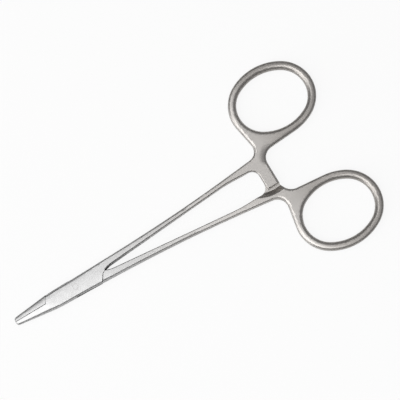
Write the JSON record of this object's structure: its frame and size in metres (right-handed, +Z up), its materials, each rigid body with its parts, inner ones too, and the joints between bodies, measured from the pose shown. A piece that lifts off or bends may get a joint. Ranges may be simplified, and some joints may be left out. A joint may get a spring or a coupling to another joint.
{
  "type": "surgical needle holder",
  "caption": "Box-lock needle holder with short serrated jaws, slim shanks, a ratchet and two finger rings; it opens and closes about its pivot.",
  "frame": {"origin": "on the pivot axis, at the underside of the box lock on which the instrument lies", "axes": "+X from the pivot towards the finger rings, with the jaws at -X; +Z up, along the pivot axis; +Y towards the ring of the slotted half"},
  "size_m": [0.1297, 0.0708, 0.0046],
  "materials": {
    "satin_steel": "satin-ground surgical stainless steel",
    "pin_steel": "rivet ground flush, satin"
  },
  "bodies": {
    "box_half": {"box_half": "satin_steel", "pivot_pin": "pin_steel"},
    "tongue_half": {"tongue_half": "satin_steel"}
  },
  "joints": [
    {"name": "box_lock", "type": "hinge", "parent": "box_half", "child": "tongue_half", "pos_m": [0, 0, 0.0023], "axis": [0, 0, -1], "range_deg": [0, 45]}
  ]
}
